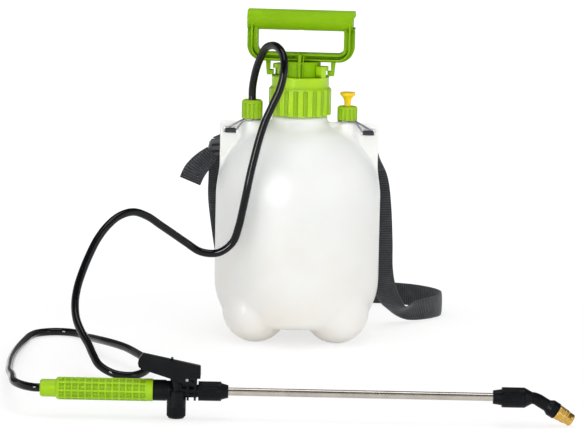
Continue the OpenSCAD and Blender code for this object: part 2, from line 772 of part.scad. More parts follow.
module valve_cap() {
    color(black) at_lance(valve_x) difference() {
        union() {
            translate([0, 0, valve_low_z]) cylinder(r1 = 7.6, r2 = 9.4, h = 2.4);
            translate([0, 0, valve_low_z + 2.4]) cylinder(r = 9.4, h = 11.4);
        }
        translate([0, 0, -24.2]) cylinder(r = 5.4, h = 20);
        grooves(32, 9.6, 0.7, valve_low_z - 1, -16.5);
    }
}

module tube_nut() {
    color(black) along_lance() difference() {
        union() {
            translate([0, 0, tube_nut_x]) cylinder(r = 9.6, h = 22.4);
            translate([0, 0, tube_nut_x + 22.4]) cylinder(r1 = 8.3, r2 = 6.3, h = 7);
        }
        translate([0, 0, tube_nut_x - 1]) cylinder(r = 6.4, h = 17);
        cylinder(d = lance_tube_d + 0.1, h = 300);
        grooves(18, 10.2, 1, tube_nut_x - 1, tube_nut_x + 19);
    }
}

module tube_ferrule() {
    color(natural) along_lance() pipe(6.3, lance_tube_d / 2 + 0.05, tube_nut_x + 9.6, tube_nut_x + 15.6);
}

module lance_tube() {
    color(steel) along_lance() pipe(lance_tube_d / 2, lance_tube_d / 2 - 0.8, tube_nut_x + 9.6, 456);
}

module nozzle_nut() {
    color(black) along_lance() difference() {
        union() {
            translate([0, 0, 445]) cylinder(r1 = 6.7, r2 = 8, h = 8.6);
            translate([0, 0, 453.6]) cylinder(r = 10, h = 22.4);
        }
        translate([0, 0, 400]) cylinder(d = lance_tube_d + 0.1, h = 100);
        translate([0, 0, 456.2]) cylinder(r = 6.2, h = 60);
        grooves(18, 10.6, 1, 455.5, 472);
    }
}

module tube_seal() {
    color(rubber) along_lance() pipe(6.1, 3.3, 456.3, 458.8);
}

module nozzle_elbow() {
    color(black) difference() {
        union() {
            along_lance() {
                translate([0, 0, 459.2]) cylinder(r = 6.15, h = 18);
                translate([0, 0, elbow_x]) cylinder(r1 = 9.8, r2 = elbow_r + 0.2, h = bend_x - elbow_x + 0.6);
            }
            at_lance(bend_x, -bend_r) rotate([90, 0, 0]) rotate([0, 0, 90 - elbow_turn])
                rotate_extrude(angle = elbow_turn) translate([bend_r, 0]) circle(elbow_r);
            at_nozzle() {
                translate([0, 0, -0.6]) cylinder(r = elbow_r + 0.2, h = elbow_run);
                translate([0, 0, elbow_run - 11]) cylinder(r1 = elbow_r, r2 = 8.3, h = 4);
                translate([0, 0, elbow_run - 7]) cylinder(r = 8.3, h = 7);
                cylinder(r = 5, h = elbow_run + 9.5);
            }
        }
        along_lance() translate([0, 0, 455]) cylinder(r = 2.2, h = bend_x - 454.4);
        at_lance(bend_x, -bend_r) rotate([90, 0, 0]) rotate([0, 0, 90 - elbow_turn])
            rotate_extrude(angle = elbow_turn) translate([bend_r, 0]) circle(2);
        at_nozzle() translate([0, 0, -0.6]) cylinder(r = 2.2, h = 60);
    }
}

module nozzle_seal() {
    color(rubber) at_nozzle() pipe(4.9, 2.6, elbow_run + 9.6, elbow_run + 11);
}

module swirl_core() {
    color(natural) at_nozzle() translate([0, 0, elbow_run + 11.1]) cylinder(r = 3, h = 4);
}

module nozzle_tip() {
    color(brass) at_nozzle() difference() {
        union() {
            translate([0, 0, elbow_run + 0.3]) cylinder(r1 = 7.7, r2 = 6.9, h = 11.4);
            translate([0, 0, elbow_run + 11.7]) cylinder(r = 6.3, h = 5.6);
            translate([0, 0, elbow_run + 17.3]) cylinder(r1 = 6.3, r2 = 5.2, h = 1.2);
        }
        cylinder(r = 5 + run, h = elbow_run + 15.5);
        cylinder(r = 0.8, h = 60);
    }
}

tank();
neck_seal();
pump_cap();
rod_guide();
pump_barrel();
foot_valve();
pump_rod();
piston();
piston_seal();
piston_screw();
handle();
handle_clip();
hose_nut();
hose_tail();
hose_seal();
pickup_tube();
pickup_strainer();
relief_nut();
relief_seat();
relief_seal();
relief_stem();
relief_spring();
relief_knob();
bail_left();
bail_right();
strap();
strap_loop();
strap_tail();
strap_slider();
hose();
grip_collar();
grip();
grip_tube();
grip_strainer();
valve_body();
trigger();
trigger_pin();
valve_stem();
stem_seal();
valve_spring();
valve_cap();
tube_nut();
tube_ferrule();
lance_tube();
nozzle_nut();
tube_seal();
nozzle_elbow();
nozzle_seal();
swirl_core();
nozzle_tip();
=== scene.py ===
import json
import math

import bpy
import numpy as np
import openvdb
from mathutils import Matrix, Vector


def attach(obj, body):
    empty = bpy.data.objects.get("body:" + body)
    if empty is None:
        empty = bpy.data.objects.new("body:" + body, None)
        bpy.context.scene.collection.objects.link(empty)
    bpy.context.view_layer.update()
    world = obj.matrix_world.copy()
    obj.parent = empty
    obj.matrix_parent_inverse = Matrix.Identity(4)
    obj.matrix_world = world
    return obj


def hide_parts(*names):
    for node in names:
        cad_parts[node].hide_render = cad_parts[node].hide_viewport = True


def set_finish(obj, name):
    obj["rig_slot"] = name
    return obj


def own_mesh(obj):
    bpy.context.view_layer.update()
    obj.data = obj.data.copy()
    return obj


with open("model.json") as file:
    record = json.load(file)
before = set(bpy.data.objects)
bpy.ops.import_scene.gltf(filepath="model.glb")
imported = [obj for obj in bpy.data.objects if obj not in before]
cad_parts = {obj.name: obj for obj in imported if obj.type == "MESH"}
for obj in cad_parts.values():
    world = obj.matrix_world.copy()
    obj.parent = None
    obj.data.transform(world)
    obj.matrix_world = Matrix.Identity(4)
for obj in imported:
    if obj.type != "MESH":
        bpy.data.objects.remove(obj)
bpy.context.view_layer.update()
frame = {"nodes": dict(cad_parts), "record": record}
nodes = frame["nodes"]
scene = bpy.context.scene
scene.view_settings.view_transform = "Standard"
mm = 0.001
print("frame loaded:", len(nodes), "nodes")

# camera, placed by the tank, the handle and the lance
viewFrom = {"at": (-6.1, -4000.1, 766.9), "pitch": 9.0, "roll": 1.2, "lens": 227.5, "sensor": 36.0}


def placeCamera(s):
    pitch, roll = math.radians(s["pitch"]), math.radians(s["roll"])
    right = Vector((1, 0, 0))
    up = Vector((0, math.sin(pitch), math.cos(pitch)))
    back = Vector((0, -math.cos(pitch), math.sin(pitch)))
    turnedRight = right * math.cos(roll) + up * math.sin(roll)
    turnedUp = up * math.cos(roll) - right * math.sin(roll)
    data = bpy.data.cameras.new("productCamera")
    data.lens = s["lens"]
    data.sensor_width = s["sensor"]
    data.clip_end = 60
    camera = bpy.data.objects.new("productCamera", data)
    turn = Matrix((turnedRight, turnedUp, back)).transposed().to_4x4()
    camera.matrix_world = Matrix.Translation(Vector(s["at"]) * mm) @ turn
    scene.collection.objects.link(camera)
    scene.camera = camera


placeCamera(viewFrom)


# shared shape helpers
def smoothPath(points, steps):
    p = np.array(points, float)
    last = len(p) - 1
    rows = []
    for i in range(last):
        a, b, c, d = p[max(i - 1, 0)], p[i], p[i + 1], p[min(i + 2, last)]
        for k in range(steps):
            t = k / steps
            rows.append(b + 0.5 * t * (c - a + t * (2 * a - 5 * b + 4 * c - d + t * (3 * (b - c) + d - a))))
    rows.append(p[last])
    return np.array(rows)


def unit(v):
    return v / np.linalg.norm(v, axis=-1, keepdims=True)


def pathTangents(p):
    t = np.empty_like(p)
    t[1:-1] = p[2:] - p[:-2]
    t[0], t[-1] = p[1] - p[0], p[-1] - p[-2]
    return unit(t)


def addPiece(name, verts, faces, body, slot, replaced=(), uv=None):
    mesh = bpy.data.meshes.new(name)
    corners = [tuple(v) for v in np.asarray(verts) * mm]
    mesh.from_pydata(corners, [], [tuple(int(i) for i in f) for f in faces])
    if uv is not None:
        layer = mesh.uv_layers.new(name="cut")
        corner = np.empty(len(mesh.loops), np.int32)
        mesh.loops.foreach_get("vertex_index", corner)
        layer.data.foreach_set("uv", np.asarray(uv, np.float32)[corner].ravel())
    mesh.validate()
    mesh.shade_smooth()
    piece = bpy.data.objects.new(name, mesh)
    scene.collection.objects.link(piece)
    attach(piece, body)
    if replaced:
        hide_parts(*replaced)
    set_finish(piece, slot)
    return piece


def ringFaces(rings, sides):
    faces = []
    for i in range(rings - 1):
        near, far = i * sides, (i + 1) * sides
        for k in range(sides):
            m = (k + 1) % sides
            faces.append((near + k, near + m, far + m, far + k))
    return faces


def endCaps(rings, sides):
    last = (rings - 1) * sides
    return [tuple(range(sides))[::-1], tuple(last + k for k in range(sides))]


# hose: one open spline along the route of the solid
hoseMake = {"diameter": 8.4, "steps": 6, "exitHeight": 260.6, "roundness": 6}
hoseRoute = [
    (-52, 0, 258), (-52, 0, 274), (-49, -6.1, 292.1), (-44.1, -16.2, 308), (-37.2, -28.1, 321.5),
    (-26.9, -44, 324.6), (-19.1, -59.5, 316.2), (-17.9, -70.3, 300.3), (-21.9, -73.8, 281.6),
    (-29.6, -75.5, 263.9), (-37.3, -78.6, 246.3), (-43, -82.1, 228), (-47.6, -85, 209.3),
    (-51.8, -86.9, 190.4),
    (-55.4, -87.3, 171.3), (-59.1, -85.3, 152.3), (-63, -82.2, 133.6), (-69.4, -80, 115.4),
    (-84.4, -78.3, 103.5), (-103.5, -76.3, 103.7), (-119.8, -78, 113.9), (-133.6, -86.5, 124.7),
    (-146.7, -96.3, 135.2), (-160.1, -105.6, 145.7), (-175, -116.2, 152), (-189.7, -128.5, 149.1),
    (-201.7, -140.8, 140), (-211.5, -151.7, 127.2), (-218.8, -162.4, 112.7), (-224.9, -173, 97.6),
    (-229.6, -184.1, 82.3), (-231.4, -196.1, 67.1), (-229.2, -208.8, 52.6), (-222.7, -222.9, 41),
    (-214.7, -237.8, 31.4), (-208.6, -254.3, 23.2), (-201, -270.4, 15.6), (-185.4, -279.7, 9.2),
    (-166.6, -277.1, 7), (-153.6, -263.2, 9.6), (-151.4, -244.6, 13.8), (-158.2, -226.6, 16.5),
    (-167.1, -209.4, 18), (-176.1, -192.1, 18.9), (-185.5, -175.1, 18.7), (-194.8, -158, 17.8),
    (-203.4, -140.6, 16.3), (-210.7, -122.7, 14.2), (-217.4, -104.6, 12), (-222.6, -86.1, 9.2),
    (-225.1, -67.1, 5.8), (-230.6, -48.6, 4.4), (-244.6, -35.4, 4.4), (-263.7, -32.7, 4.4),
    (-280.3, -42.3, 4.4), (-287.7, -60, 4.4), (-291.1, -86.6, 4.8), (-294, -126.3, 6.3),
    (-295.2, -165.9, 8.6),
    (-295.2, -207.4, 11.4), (-294, -251.2, 14.6), (-291.6, -295.3, 18), (-288.7, -334.6, 21.2),
    (-283.3, -372, 24.3), (-279.4, -407, 26.6), (-275, -423.5, 27.4), (-267, -437, 27.7),
    (-257.4, -444.4, 27.6), (-248, -446, 27.6), (-240, -446, 27.6),
]


def makeHose(s):
    path = smoothPath(hoseRoute, s["steps"]) * mm
    curve = bpy.data.curves.new("hose", "CURVE")
    curve.dimensions = "3D"
    curve.bevel_depth = 1.0  # each point's radius gives the thickness
    curve.bevel_resolution = s["roundness"]
    curve.use_fill_caps = True
    line = curve.splines.new("POLY")
    line.points.add(len(path) - 1)
    line.points.foreach_set("co", np.c_[path, np.ones(len(path))].ravel())
    line.points.foreach_set("radius", np.full(len(path), s["diameter"] * mm / 2))
    line.use_smooth = True
    hose = bpy.data.objects.new("hoseLine", curve)
    scene.collection.objects.link(hose)
    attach(hose, "tank")
    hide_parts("hose")
    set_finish(hose, "hose_plastic")
    return hose


hose = makeHose(hoseMake)

# strap webbing: place, direction of its width, and width, as the solid has them
strapMake = {"wide": 25.0, "thick": 1.6, "steps": 8, "across": 10, "crown": 0.5, "thinEdge": 0.55,
             "fold": (9, 22), "plyGap": 0.1, "longSpare": 80.0, "shortSpare": 22.0}
strapRoute = [
    ((75, 4, 224), (1, 0, 0), 14), ((78, 11, 213), (1, 0, 0), 13), ((82, 36, 194), (1, -0.2, 0), 15),
    ((89, 49, 170), (1, -0.25, 0), 21), ((92, 51, 138), (1, -0.1, 0), 24), ((94, 52, 98), (1, 0, 0), 25),
    ((95, 57, 68), (1, -0.1, 0), 25), ((99, 65, 45), (0.95, -0.2, 0.2), 25),
    ((106, 74, 28), (0.65, -0.5, 0.55), 25), ((116, 83, 16), (0.3, -0.8, 0.5), 25),
    ((131, 94, 12.7), (0, -0.5, 0.85), 25), ((150, 110, 13), (0, -0.15, 1), 25),
    ((164, 132, 13), (0, 0, 1), 25), ((165, 156, 13), (0, 0, 1), 25), ((153, 178, 13), (0, 0, 1), 25),
    ((130, 196, 13), (0, 0, 1), 25), ((100, 204, 13), (0, 0, 1), 25), ((60, 203, 13), (0, 0, 1), 25),
    ((20, 190, 13), (0, 0, 1), 25), ((-15, 167, 13), (0, 0, 1), 25), ((-40, 139, 15), (0.2, 0.1, 1), 25),
    ((-58, 112, 24), (0.7, 0.4, 0.7), 25), ((-71, 88, 44), (0.8, 0.6, 0.3), 25),
    ((-79, 70, 74), (0.8, 0.6, 0), 25), ((-84, 58, 108), (0.85, 0.5, 0), 25),
    ((-88, 49, 145), (0.9, 0.4, 0), 25), ((-88, 42, 172), (0.9, 0.45, 0), 25),
    ((-87, 33, 192.5), (0.9, 0.35, 0), 25),
]
# the webbing runs on up behind the slider's bars
sliderPass = [((-88.3, 33.2, 198), (0.93, 0.36, 0), 25), ((-86.8, 29.1, 204.8), (0.93, 0.36, 0), 25),
              ((-85, 24.4, 213.5), (0.93, 0.36, 0), 25)]
loopRoute = [((-75, 4, 224), (1, 0, 0), 14), ((-79, 12, 219), (1, 0.2, 0), 18),
             ((-84, 20, 215), (0.9, 0.35, 0), 25)]
tailRoute = [
    ((-95, 19, 199), (0.6, 0.25, -0.8), 17), ((-105, 18, 189), (0.75, 0.1, -0.65), 22),
    ((-114, 15, 178), (0.85, 0.2, -0.5), 25), ((-119, 14, 167), (0.9, 0.2, -0.4), 25),
]
# both plies pass through the slot and round the bail's lower wire; y and z
wrapMake = {"x": 75.2, "inSlot": 11.2, "below": 12.6, "slotLow": 224, "thick": 1.1, "crown": 0.0, "steps": 4}
wrapRoute = [
    (6.4, 219.5), (4.4, 223.2), (1.2, 225.6), (-2.0, 226.0), (-3.6, 226.2), (-4.4, 227.6), (-3.6, 229.0),
    (-2.0, 229.2), (1.2, 228.6), (4.6, 226.4), (7.4, 222.4), (9.4, 218.4),
]


def ribbonMesh(route, s, part=None, lift=0.0):
    place = smoothPath([r[0] for r in route], s["steps"])
    wide = smoothPath([r[1] for r in route], s["steps"])
    width = smoothPath([[r[2]] for r in route], s["steps"])[:, 0]
    tangent = pathTangents(place)
    side = unit(wide - tangent * np.sum(wide * tangent, axis=1, keepdims=True))
    normal = np.cross(tangent, side)
    place = place + normal * lift
    if part:  # a second ply lies on a stretch of the first
        place, side, normal, width = (rows[slice(*part)] for rows in (place, side, normal, width))
    run = np.r_[0, np.cumsum(np.linalg.norm(np.diff(place, axis=0), axis=1))]
    count = s["across"]
    across = np.linspace(-1, 1, count + 1)
    half = 0.5 * s["thick"] * np.where(np.abs(across) > 0.999, s["thinEdge"], 1.0)
    verts, uv = [], []
    for i in range(len(place)):
        for up, order in ((1, range(count + 1)), (-1, range(count, -1, -1))):
            for k in order:
                a = across[k]
                crown = s["crown"] * (0.5 - a * a) * width[i] / s["wide"]
                verts.append(place[i] + side[i] * a * width[i] / 2 + normal[i] * (crown + up * half[k]))
                uv.append((a * s["wide"] / 2 * mm, run[i] * mm))
    sides = 2 * (count + 1)
    faces = ringFaces(len(place), sides)
    for base, turned in ((0, True), ((len(place) - 1) * sides, False)):
        for k in range(count):
            quad = (base + k, base + k + 1, base + sides - 2 - k, base + sides - 1 - k)
            faces.append(quad[::-1] if turned else quad)
    return verts, faces, uv, float(run[-1])


def joinParts(parts):
    verts, faces, uv = [], [], []
    for v, f, t in parts:
        first = len(verts)
        verts += list(v)
        faces += [tuple(first + i for i in face) for face in f]
        uv += list(t)
    return verts, faces, uv


def wrapParts(sign, s):
    w = wrapMake
    route = [((sign * w["x"], y, z), (1, 0, 0), w["inSlot"] if z > w["slotLow"] else w["below"])
             for y, z in wrapRoute]
    return ribbonMesh(route, {**s, **{k: w[k] for k in ("thick", "crown", "steps")}})[:3]


def makeStraps(s):
    right = ribbonMesh(strapRoute + sliderPass, s)
    folded = ribbonMesh(strapRoute, s, s["fold"], s["thick"] + s["plyGap"])
    verts, faces, uv = joinParts([right[:3], folded[:3], wrapParts(1, s)])
    strap = addPiece("strapLong", verts, faces, "tank", "webbing", ["strap"], uv)
    left = ribbonMesh(loopRoute, s)
    verts, faces, uv = joinParts([left[:3], wrapParts(-1, s)])
    loop = addPiece("strapShort", verts, faces, "tank", "webbing", ["strap_loop"], uv)
    end = ribbonMesh(tailRoute, s)
    tail = addPiece("strapEnd", end[0], end[1], "tank", "webbing", ["strap_tail"], end[2])
    print("strap", round(right[3]), "+", round(left[3]), "+", round(end[3]), "mm")
    return [strap, loop, tail]


straps = makeStraps(strapMake)

# tank: one blow-moulded skin, from a distance field in millimetres
tankMake = {
    "grid": 1.5, "gridBox": ((-94.5, -94.5, -4.5), (94.5, 94.5, 264)), "band": 10.0, "wall": 2.5,
    "shoulderAt": (10.0, 156.0), "shoulderR": 80.0,
    "heelAt": (17.5, 65.0), "heelR": 72.5, "edge": (81.0, 30.0), "baseR": 67.0, "baseZ": 18.0,
    "foot": (44.0, 36.0, 35.4, 36.0), "neckR": 25.5, "neckBore": 22.0, "lip": 258.0,
    "bossX": 52.0, "bossR": 10.0, "bossZ": 238.3, "spigotR": 8.2, "spigotZ": 250.0, "spigotBore": 5.5,
    "collarR": 30.5, "collarZ": 244.5, "earX": 86.5, "earMid": 150.0, "earZ": 237.0, "earHalf": 1.75,
    "earCorner": 3.0, "slot": (75.2, 227.0, 7.8, 3.0, 2.5), "heelBulge": 2.6,
}
# radius of the fillet where two forms of the tank meet
tankFillet = {"foot": 3.5, "bossTop": 3.0, "boss": 9.0, "collarTop": 3.0, "collar": 8.0, "earEdge": 1.0,
              "slot": 0.7, "ear": 4.0, "neck": 4.0, "floor": 1.2, "wall": 0.5}
# height below which a form is buried in the vessel
tankRoot = {"boss": 180, "spigot": 220, "neck": 200, "collar": 190, "neckBore": 190, "spigotBore": 200}


def softMin(a, b, k):
    h = np.clip(0.5 + 0.5 * (b - a) / k, 0, 1)
    return b + (a - b) * h - k * h * (1 - h)


def softMax(a, b, k):
    return -softMin(-a, -b, k)


def tankProfile(s):
    cx, cz = s["shoulderAt"]
    hx, hz = s["heelAt"]
    low = math.asin((s["edge"][1] - hz) / s["heelR"])
    line = [(0, s["baseZ"]), (s["baseR"], s["baseZ"])]
    for t in np.linspace(0.12, 0.88, 6):
        bulge = math.sin(t * math.pi) * s["heelBulge"] * 0.7
        line.append((s["baseR"] + (s["edge"][0] - s["baseR"]) * t + bulge,
                     s["baseZ"] + (s["edge"][1] - s["baseZ"]) * t - bulge))
    for t in np.linspace(low, 0, 14):
        line.append((hx + s["heelR"] * math.cos(t), hz + s["heelR"] * math.sin(t)))
    for t in np.linspace(0, math.pi / 2, 40):
        line.append((cx + s["shoulderR"] * math.cos(t), cz + s["shoulderR"] * math.sin(t)))
    line.append((0, cz + s["shoulderR"]))
    return np.array(line)


class TankBody:
    def __init__(self, s, step=0.5):
        line = tankProfile(s)
        self.step = step
        self.low = -20.0
        r = np.arange(0, 150, step)
        z = np.arange(self.low, 290, step)
        rr, zz = np.meshgrid(r, z, indexing="ij")
        best = np.full(rr.shape, 1e9)
        inside = np.zeros(rr.shape, bool)
        for (ax, az), (bx, bz) in zip(line[:-1], line[1:]):
            dx, dz = bx - ax, bz - az
            t = np.clip(((rr - ax) * dx + (zz - az) * dz) / (dx * dx + dz * dz + 1e-12), 0, 1)
            best = np.minimum(best, (rr - ax - t * dx) ** 2 + (zz - az - t * dz) ** 2)
            if dz:
                crosses = ((az <= zz) & (zz < bz)) | ((bz <= zz) & (zz < az))
                inside ^= crosses & (rr < ax + (zz - az) / dz * dx)
        self.table = np.where(inside, -1, 1) * np.sqrt(best)

    def at(self, r, z):
        i = np.clip(r / self.step, 0, self.table.shape[0] - 1.001)
        j = np.clip((z - self.low) / self.step, 0, self.table.shape[1] - 1.001)
        a, b = i.astype(np.int32), j.astype(np.int32)
        f, g = i - a, j - b
        t = self.table
        lower = t[a, b] * (1 - f) + t[a + 1, b] * f
        upper = t[a, b + 1] * (1 - f) + t[a + 1, b + 1] * f
        return lower * (1 - g) + upper * g


def boxDistance(dx, dz, halfX, halfZ, corner):
    qx, qz = np.abs(dx) - halfX + corner, np.abs(dz) - halfZ + corner
    return np.hypot(np.maximum(qx, 0), np.maximum(qz, 0)) + np.minimum(np.maximum(qx, qz), 0) - corner


def tankField(p, s, body):
    x, y, z = p[:, 0], p[:, 1], p[:, 2]
    r = np.hypot(x, y)
    shell = body.at(r, z)
    fx, fy, fz, fr = s["foot"]
    foot = np.sqrt((np.abs(x) - fx) ** 2 + (np.abs(y) - fy) ** 2 + (z - fz) ** 2) - fr
    fillet, root = tankFillet, tankRoot
    vessel = softMin(shell, foot, fillet["foot"])
    bossR = np.hypot(np.abs(x) - s["bossX"], y)
    boss = softMax(np.maximum(bossR - s["bossR"], root["boss"] - z), z - s["bossZ"], fillet["bossTop"])
    spigot = np.maximum(np.maximum(bossR - s["spigotR"], root["spigot"] - z), z - s["spigotZ"])
    plate = boxDistance(x, z - s["earMid"], s["earX"], s["earZ"] - s["earMid"], s["earCorner"])
    ear = softMax(np.abs(y) - s["earHalf"], plate, fillet["earEdge"])
    sx, sz, sw, sh, sc = s["slot"]
    ear = softMax(ear, -boxDistance(np.abs(x) - sx, z - sz, sw, sh, sc), fillet["slot"])
    neck = np.maximum(np.maximum(r - s["neckR"], root["neck"] - z), z - s["lip"])
    ring = softMax(np.maximum(r - s["collarR"], root["collar"] - z), z - s["collarZ"], fillet["collarTop"])
    f = softMin(softMin(vessel, ring, fillet["collar"]), boss, fillet["boss"])
    f = softMin(f, ear, fillet["ear"])
    f = softMin(np.minimum(f, spigot), neck, fillet["neck"])
    f = softMax(f, -z, fillet["floor"])
    hollow = np.minimum(vessel + s["wall"], np.maximum(r - s["neckBore"], root["neckBore"] - z))
    hollow = np.minimum(hollow, np.maximum(bossR - s["spigotBore"], root["spigotBore"] - z))
    return softMax(f, -hollow, fillet["wall"])


def makeTank(s):
    body = TankBody(s)
    g = s["grid"]
    low, high = np.array(s["gridBox"], float)
    count = np.ceil((high - low) / g).astype(int) + 1
    axes = [low[k] + g * np.arange(count[k]) for k in range(3)]
    values = np.empty(tuple(count), np.float32)
    for i in range(count[0]):  # one slice at a time keeps the memory low
        yy, zz = np.meshgrid(axes[1], axes[2], indexing="ij")
        p = np.c_[np.full(yy.size, axes[0][i]), yy.ravel(), zz.ravel()]
        values[i] = tankField(p, s, body).reshape(yy.shape)
    grid = openvdb.FloatGrid(s["band"])
    grid.copyFromArray(np.clip(values, -s["band"], s["band"]))
    points, quads = grid.convertToQuads(0.0)
    p = low + np.array(points, float) * g
    h = 0.25
    for _ in range(4):  # pull the corners onto the field's own surface
        f = tankField(p, s, body)
        slope = [tankField(p + d, s, body) - tankField(p - d, s, body) for d in np.eye(3) * h]
        slope = np.stack(slope, 1) / (2 * h)
        step = f / np.maximum(np.sum(slope * slope, axis=1), 0.2)
        p = p - np.clip(step, -0.8, 0.8)[:, None] * slope
    p[:, 2] = np.maximum(p[:, 2], 0.0)
    tank = addPiece("tankSkin", p, np.array(quads)[:, ::-1], "tank", "tank_plastic", ["tank"])
    print("tank skin", len(p), "points")
    return tank


tankSkin = makeTank(tankMake)

threadMake = {"radius": 25.35, "bead": 0.85, "tall": 1.1, "pitch": 4.2, "turns": 1.9, "low": 248.0,
              "runOut": 14, "steps": 150, "sides": 8}


def makeNeckThread(s):
    rows, sides = [], s["sides"]
    for i in range(s["steps"] + 1):
        t = i / s["steps"]
        fade = min(1.0, min(t, 1 - t) * s["runOut"] + 0.08)  # the thread runs out at both ends
        a = 2 * math.pi * s["turns"] * t
        z = s["low"] + s["pitch"] * s["turns"] * t
        for k in range(sides):
            b = 2 * math.pi * k / sides
            r = s["radius"] + s["bead"] * fade * math.cos(b)
            rows.append((r * math.cos(a), r * math.sin(a), z + s["bead"] * s["tall"] * fade * math.sin(b)))
    faces = ringFaces(s["steps"] + 1, sides) + endCaps(s["steps"] + 1, sides)
    return addPiece("neckThread", rows, [f[::-1] for f in faces], "tank", "tank_plastic")


neckThread = makeNeckThread(threadMake)


# turned and moulded pieces: a radius for every place along and round an axis
def spunPiece(name, along, radii, at, axis, body, slot, replaced, sides):
    axis = np.array(axis, float) / np.linalg.norm(axis)
    first = unit(np.cross(axis, (0, 1, 0)))
    second = np.cross(axis, first)
    turn = 2 * np.pi * np.arange(sides) / sides
    ring = np.cos(turn)[:, None] * first + np.sin(turn)[:, None] * second
    verts = np.concatenate([np.array(at) + axis * a + ring * r[:, None] for a, r in zip(along, radii)])
    faces = ringFaces(len(along), sides)
    last = len(verts)
    verts = np.concatenate([verts, [np.array(at) + axis * along[0], np.array(at) + axis * along[-1]]])
    for k in range(sides):
        m = (k + 1) % sides
        faces.append((last, m, k))
        faces.append((last + 1, last - sides + k, last - sides + m))
    return addPiece(name, verts, faces, body, slot, replaced)


lanceAt = np.array([-250.0, -446.0, 27.6])
gripMake = {"start": 16.0, "end": 111.0, "radius": 11.2, "lip": 9.8, "lipRun": 2.5, "endChamfer": 0.4,
            "columns": 13, "firstColumn": 21.4, "pitch": 6.65, "rows": 8, "depth": 1.7,
            "halfLong": (1.9, 2.7), "halfRound": (13.5, 18.5), "sides": 240}


def ramp(x, low, high):
    t = np.clip((x - low) / (high - low), 0, 1)
    return t * t * (3 - 2 * t)


def makeGrip(s):
    lipEnd = s["start"] + s["lipRun"]
    along = np.r_[s["start"], np.linspace(s["start"] + 0.3, lipEnd, 5),
                  np.arange(lipEnd + 0.4, s["end"] - 0.6, 0.42), s["end"] - 0.5, s["end"]]
    sides = s["sides"]
    angle = np.degrees(2 * np.pi * np.arange(sides) / sides)
    step = 360 / s["rows"]
    offRow = np.abs((angle % step) - step / 2)  # the rows sit either side of the middle line
    rowCut = 1 - ramp(offRow, *s["halfRound"])
    radii = []
    for a in along:
        k = round((a - s["firstColumn"]) / s["pitch"])
        k = min(max(k, 0), s["columns"] - 1)
        colCut = 1 - ramp(abs(a - s["firstColumn"] - k * s["pitch"]), *s["halfLong"])
        base = s["radius"]
        if a < lipEnd:
            rise = math.sin(math.pi / 2 * (a - s["start"]) / s["lipRun"])
            base = s["lip"] + (s["radius"] - s["lip"]) * rise
        if a == s["end"]:
            base -= s["endChamfer"]
        radii.append(base - s["depth"] * colCut * rowCut)
    return spunPiece("gripPockets", along, radii, lanceAt, (1, 0, 0), "tank", "lime_plastic", ["grip"], sides)


grip = makeGrip(gripMake)

tipMake = {"bendX": 482.5, "bendR": 14.0, "turn": 31.0, "run": 21.0, "teeth": 30, "toothDepth": 0.34,
           "sides": 240}
# place along the axis past the elbow, radius, and share of the knurl
tipProfile = [
    (0.3, 5.1, 0), (0.3, 7.0, 0), (0.5, 7.4, 0), (1.0, 7.62, 0.2), (1.5, 7.62, 1), (5.2, 7.36, 1),
    (5.6, 7.33, 0.5), (5.9, 7.0, 0), (6.3, 7.0, 0), (6.6, 7.26, 0.5), (7.0, 7.25, 1), (10.6, 7.0, 1),
    (11.1, 6.92, 0.3), (11.5, 6.6, 0), (11.7, 6.2, 0), (12.0, 6.05, 0), (12.3, 6.2, 0), (12.6, 6.3, 0),
    (16.9, 6.3, 0), (17.3, 6.26, 0), (18.1, 5.6, 0), (18.4, 5.2, 0), (18.5, 4.8, 0), (18.5, 3.4, 0),
    (18.2, 3.1, 0), (17.7, 2.2, 0), (17.4, 0.9, 0), (16.4, 0.8, 0),
]


def makeNozzleTip(s):
    turn = math.radians(s["turn"])
    at = lanceAt + np.array([s["bendX"] + s["bendR"] * math.sin(turn), 0, s["bendR"] * (math.cos(turn) - 1)])
    axis = (math.cos(turn), 0, -math.sin(turn))
    sides = s["sides"]
    wave = 0.5 - 0.5 * np.cos(2 * np.pi * s["teeth"] * np.arange(sides) / sides)
    along = [s["run"] + a for a, r, k in tipProfile]
    radii = [r - s["toothDepth"] * k * wave for a, r, k in tipProfile]
    return spunPiece("nozzleTip", along, radii, at, axis, "tip", "brass", ["nozzle_tip"], sides)


nozzleTip = makeNozzleTip(tipMake)

# valve springs: a coil of wire between each spring's low and high ends
springMake = {
    "reliefCoil": {"node": "relief_spring", "at": (52.0, 0.0), "low": 243.2, "high": 251.4, "coilR": 3.5,
                   "wireR": 0.5, "turns": 4, "joint": "relief_pull", "seat": 251.4, "keep": 0.62},
    "valveCoil": {"node": "valve_spring", "at": (-116.0, -446.0), "low": 3.5, "high": 18.5, "coilR": 3.6,
                  "wireR": 0.5, "turns": 6, "joint": "trigger_press", "seat": 3.5, "keep": 0.86},
}


def makeSpring(name, s, sides=10, perTurn=24):
    steps = perTurn * s["turns"]
    turn = 2 * np.pi * s["turns"] * np.arange(steps + 1) / steps
    rise = np.linspace(s["low"] + s["wireR"], s["high"] - s["wireR"], steps + 1)
    x, y = s["at"]
    path = np.c_[x + s["coilR"] * np.cos(turn), y + s["coilR"] * np.sin(turn), rise]
    out = np.c_[np.cos(turn), np.sin(turn), np.zeros(steps + 1)]
    over = np.cross(pathTangents(path), out)
    angles = 2 * np.pi * np.arange(sides) / sides
    rows = [p + s["wireR"] * (math.cos(a) * o + math.sin(a) * v)
            for p, o, v in zip(path, out, over) for a in angles]
    faces = ringFaces(steps + 1, sides) + endCaps(steps + 1, sides)
    coil = addPiece(name, rows, faces, "tank", "wire", [s["node"]])
    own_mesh(coil)
    return coil


springs = [makeSpring(name, s) for name, s in springMake.items()]
print("pieces made")


